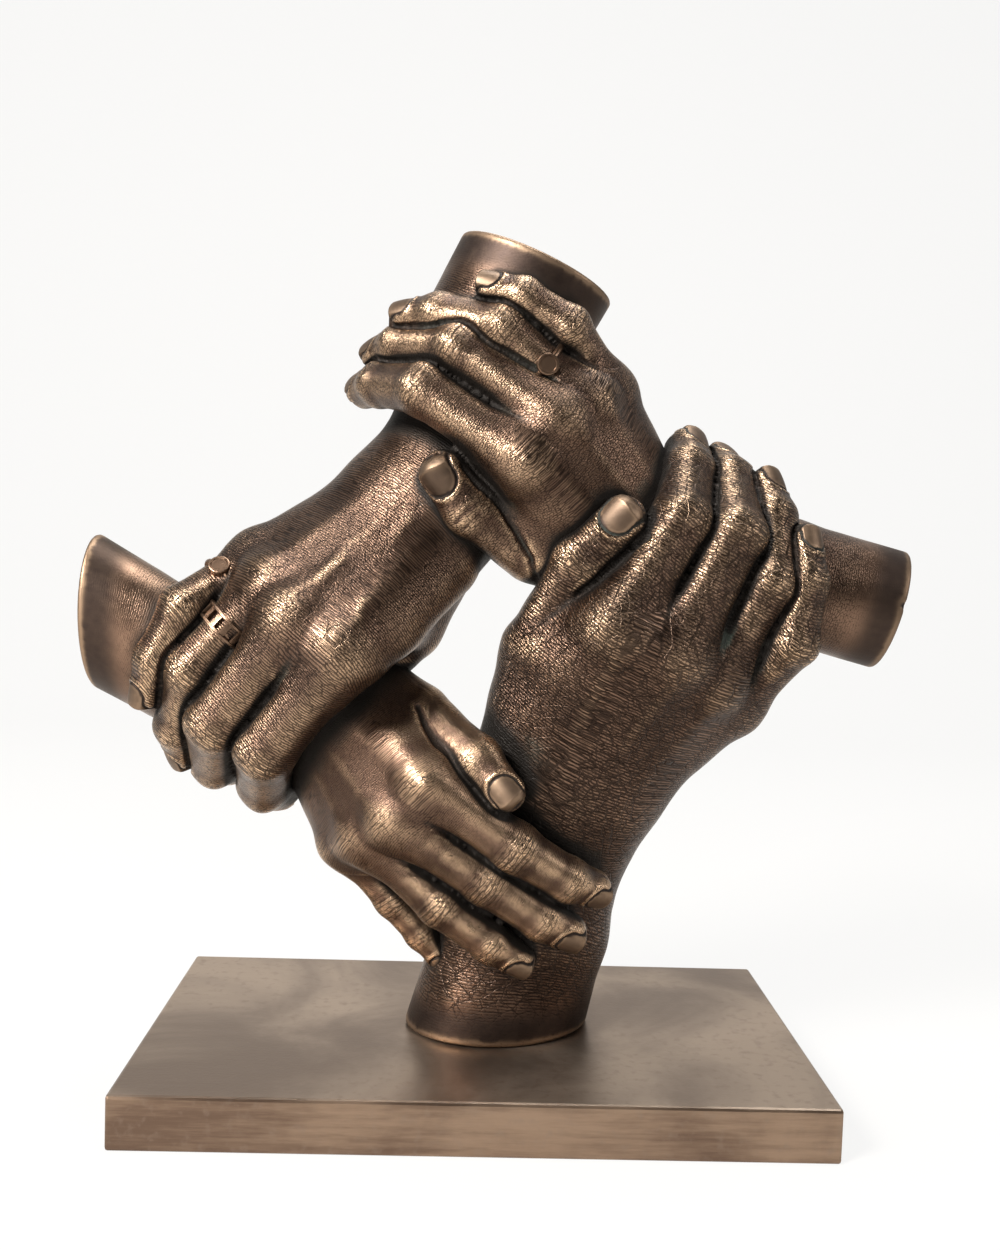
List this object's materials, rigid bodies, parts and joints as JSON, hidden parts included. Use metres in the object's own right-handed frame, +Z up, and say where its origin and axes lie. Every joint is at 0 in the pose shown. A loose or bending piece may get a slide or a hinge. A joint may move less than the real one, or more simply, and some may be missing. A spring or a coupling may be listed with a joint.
{
  "type": "hand casting sculpture",
  "caption": "Bronze sculpture of right hands in a ring, each gripping the next wrist, cast as one piece and standing on a flat rectangular plinth.",
  "frame": {"origin": "middle of the plinth's underside, on the surface that it stands on", "axes": "+Z up, the backs of the hands face -Y, +X is to the right of someone who faces them"},
  "size_m": [0.3263, 0.147, 0.3383],
  "materials": {
    "patinated_bronze": "dark brown patinated bronze with rubbed golden high points and a trace of verdigris in the folds",
    "plinth_bronze": "satin brown bronze with cloudy mottling and brushed edges",
    "screw_steel": "plain steel"
  },
  "bodies": {
    "root": {"hands_casting": "patinated_bronze", "base_plate": "plinth_bronze", "fixing_screw_left": "screw_steel", "fixing_screw_right": "screw_steel"}
  },
  "joints": []
}
